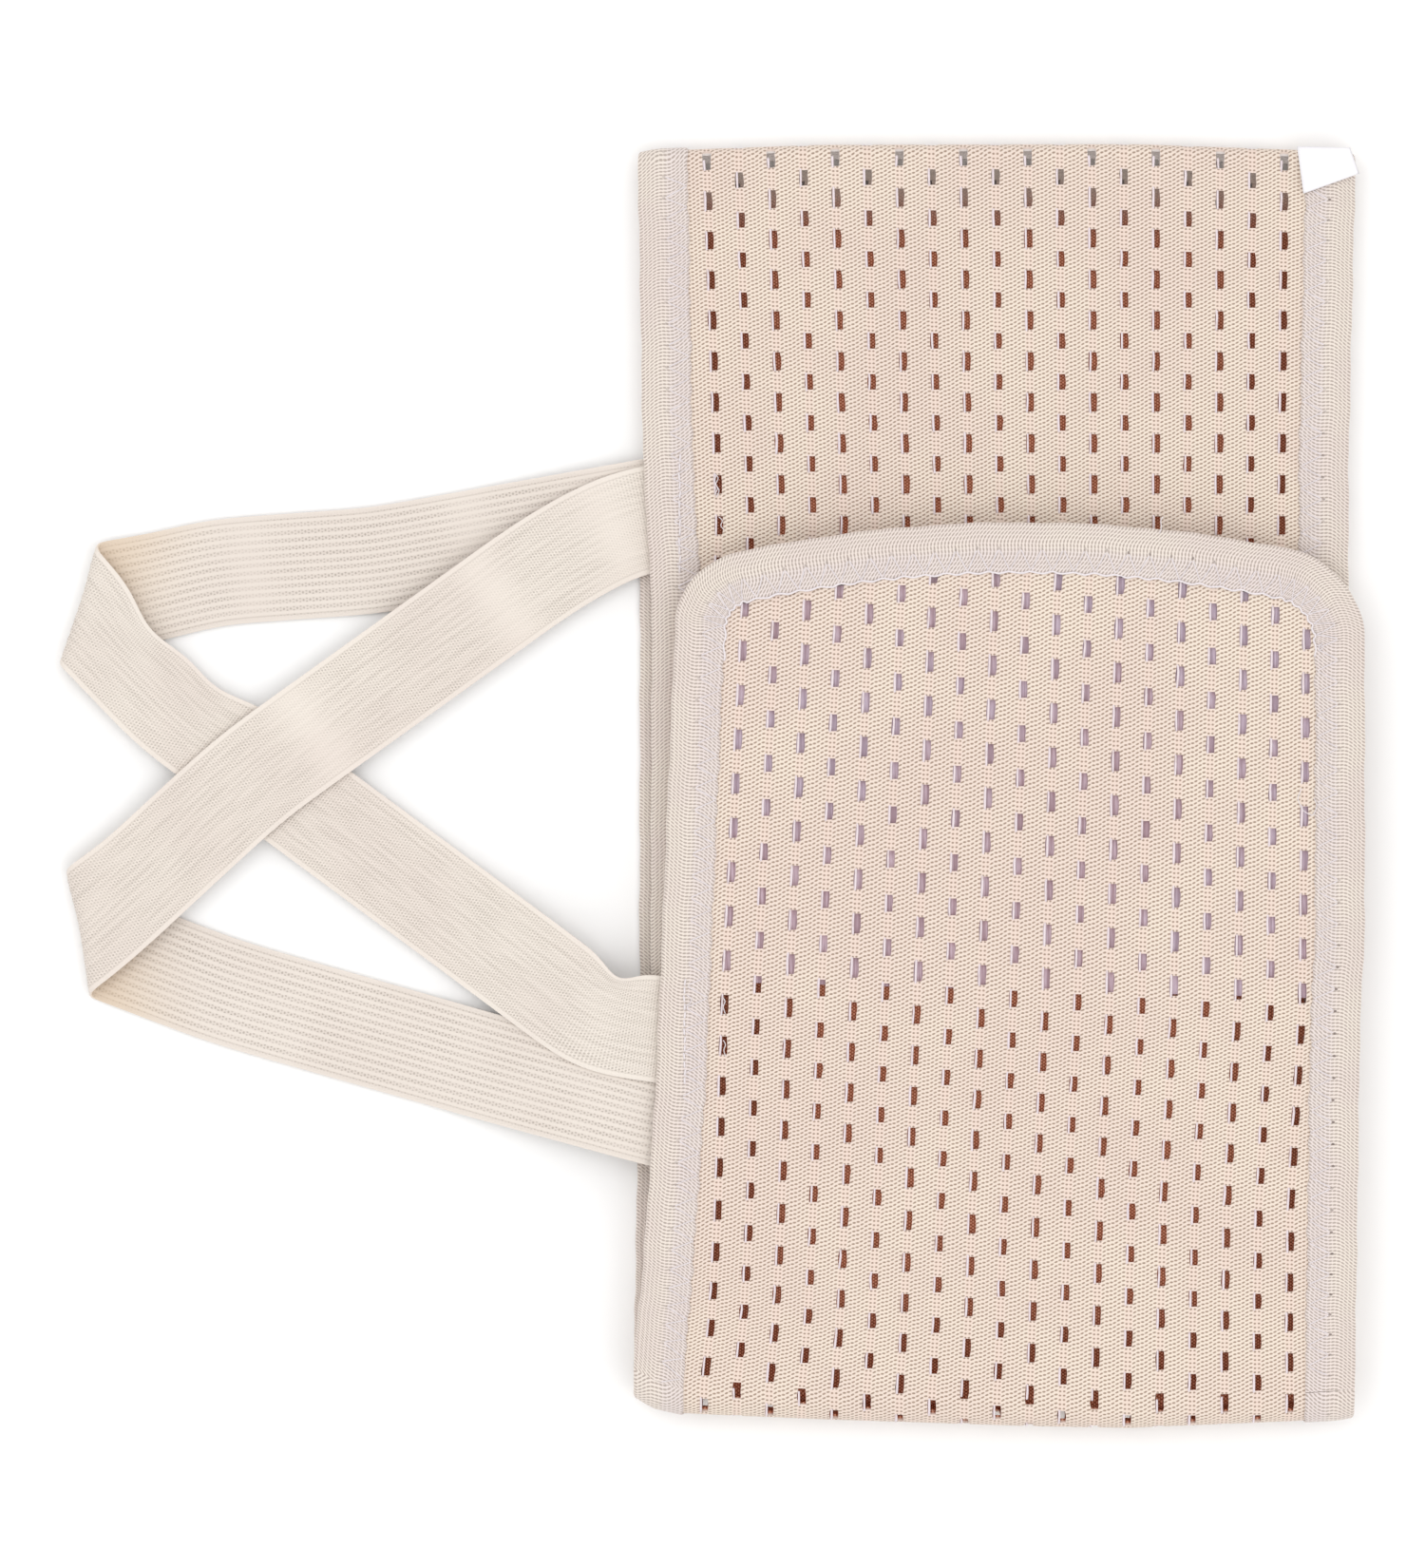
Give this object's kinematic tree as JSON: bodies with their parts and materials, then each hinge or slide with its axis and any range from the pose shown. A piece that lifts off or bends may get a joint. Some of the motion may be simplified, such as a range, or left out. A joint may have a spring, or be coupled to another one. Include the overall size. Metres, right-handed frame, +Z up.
{
  "type": "lumbar support belt",
  "caption": "Perforated elastic lumbar support belt packed flat, with elastic shoulder straps, bound edges and a hook-and-loop front flap.",
  "frame": {"origin": "centre of the whole object's plan, on the surface that it lies on", "axes": "+Z up from the surface, +Y from the bottom fold to the centre fold, +X from the straps towards the belt"},
  "size_m": [0.368, 0.364, 0.0177],
  "materials": {
    "perforated_elastic": "woven elastic with rows of slots, matt",
    "binding_tape": "fine woven tape, matt",
    "strap_elastic": "ribbed elastic webbing, soft sheen",
    "white_thread": "polyester thread",
    "hook_tape": "lilac-grey hook tape",
    "loop_tape": "brushed loop fabric",
    "label_satin": "blank white satin"
  },
  "bodies": {
    "back_half": {"panel_back": "perforated_elastic", "panel_front": "perforated_elastic", "panel_centre_fold": "perforated_elastic", "panel_inner_bend": "perforated_elastic", "panel_outer_bend": "perforated_elastic", "binding_back_left": "binding_tape", "binding_back_right": "binding_tape", "binding_front_left": "binding_tape", "binding_front_right": "binding_tape", "binding_centre_fold_left": "binding_tape", "binding_centre_fold_right": "binding_tape", "binding_inner_bend_left": "binding_tape", "binding_inner_bend_right": "binding_tape", "binding_outer_bend_left": "binding_tape", "binding_outer_bend_right": "binding_tape", "seam_front": "white_thread", "anchor_seam_front": "white_thread", "shoulder_strap_a": "strap_elastic", "shoulder_strap_b": "strap_elastic"},
    "front_flap": {"panel_inner_end": "perforated_elastic", "panel_outer_end": "perforated_elastic", "binding_inner_end": "binding_tape", "binding_outer_end": "binding_tape", "seam_inner_end": "white_thread", "seam_outer_end": "white_thread", "hook_panel": "hook_tape", "loop_panel": "loop_tape", "anchor_seam_flap": "white_thread"},
    "label": {"care_label": "label_satin"}
  },
  "joints": [
    {"name": "flap_fold", "type": "hinge", "parent": "back_half", "child": "front_flap", "pos_m": [0, -0.1794, 0.0086], "axis": [1, 0, 0], "range_deg": [0, 178], "deforming": ["panel_inner_bend", "panel_outer_bend", "binding_inner_bend_left", "binding_inner_bend_right", "binding_outer_bend_left", "binding_outer_bend_right", "shoulder_strap_a", "shoulder_strap_b"]},
    {"name": "label_flip", "type": "hinge", "parent": "back_half", "child": "label", "pos_m": [0.1652, 0.1742, 0.0088], "axis": [0, -1, 0], "range_deg": [0, 150]}
  ]
}
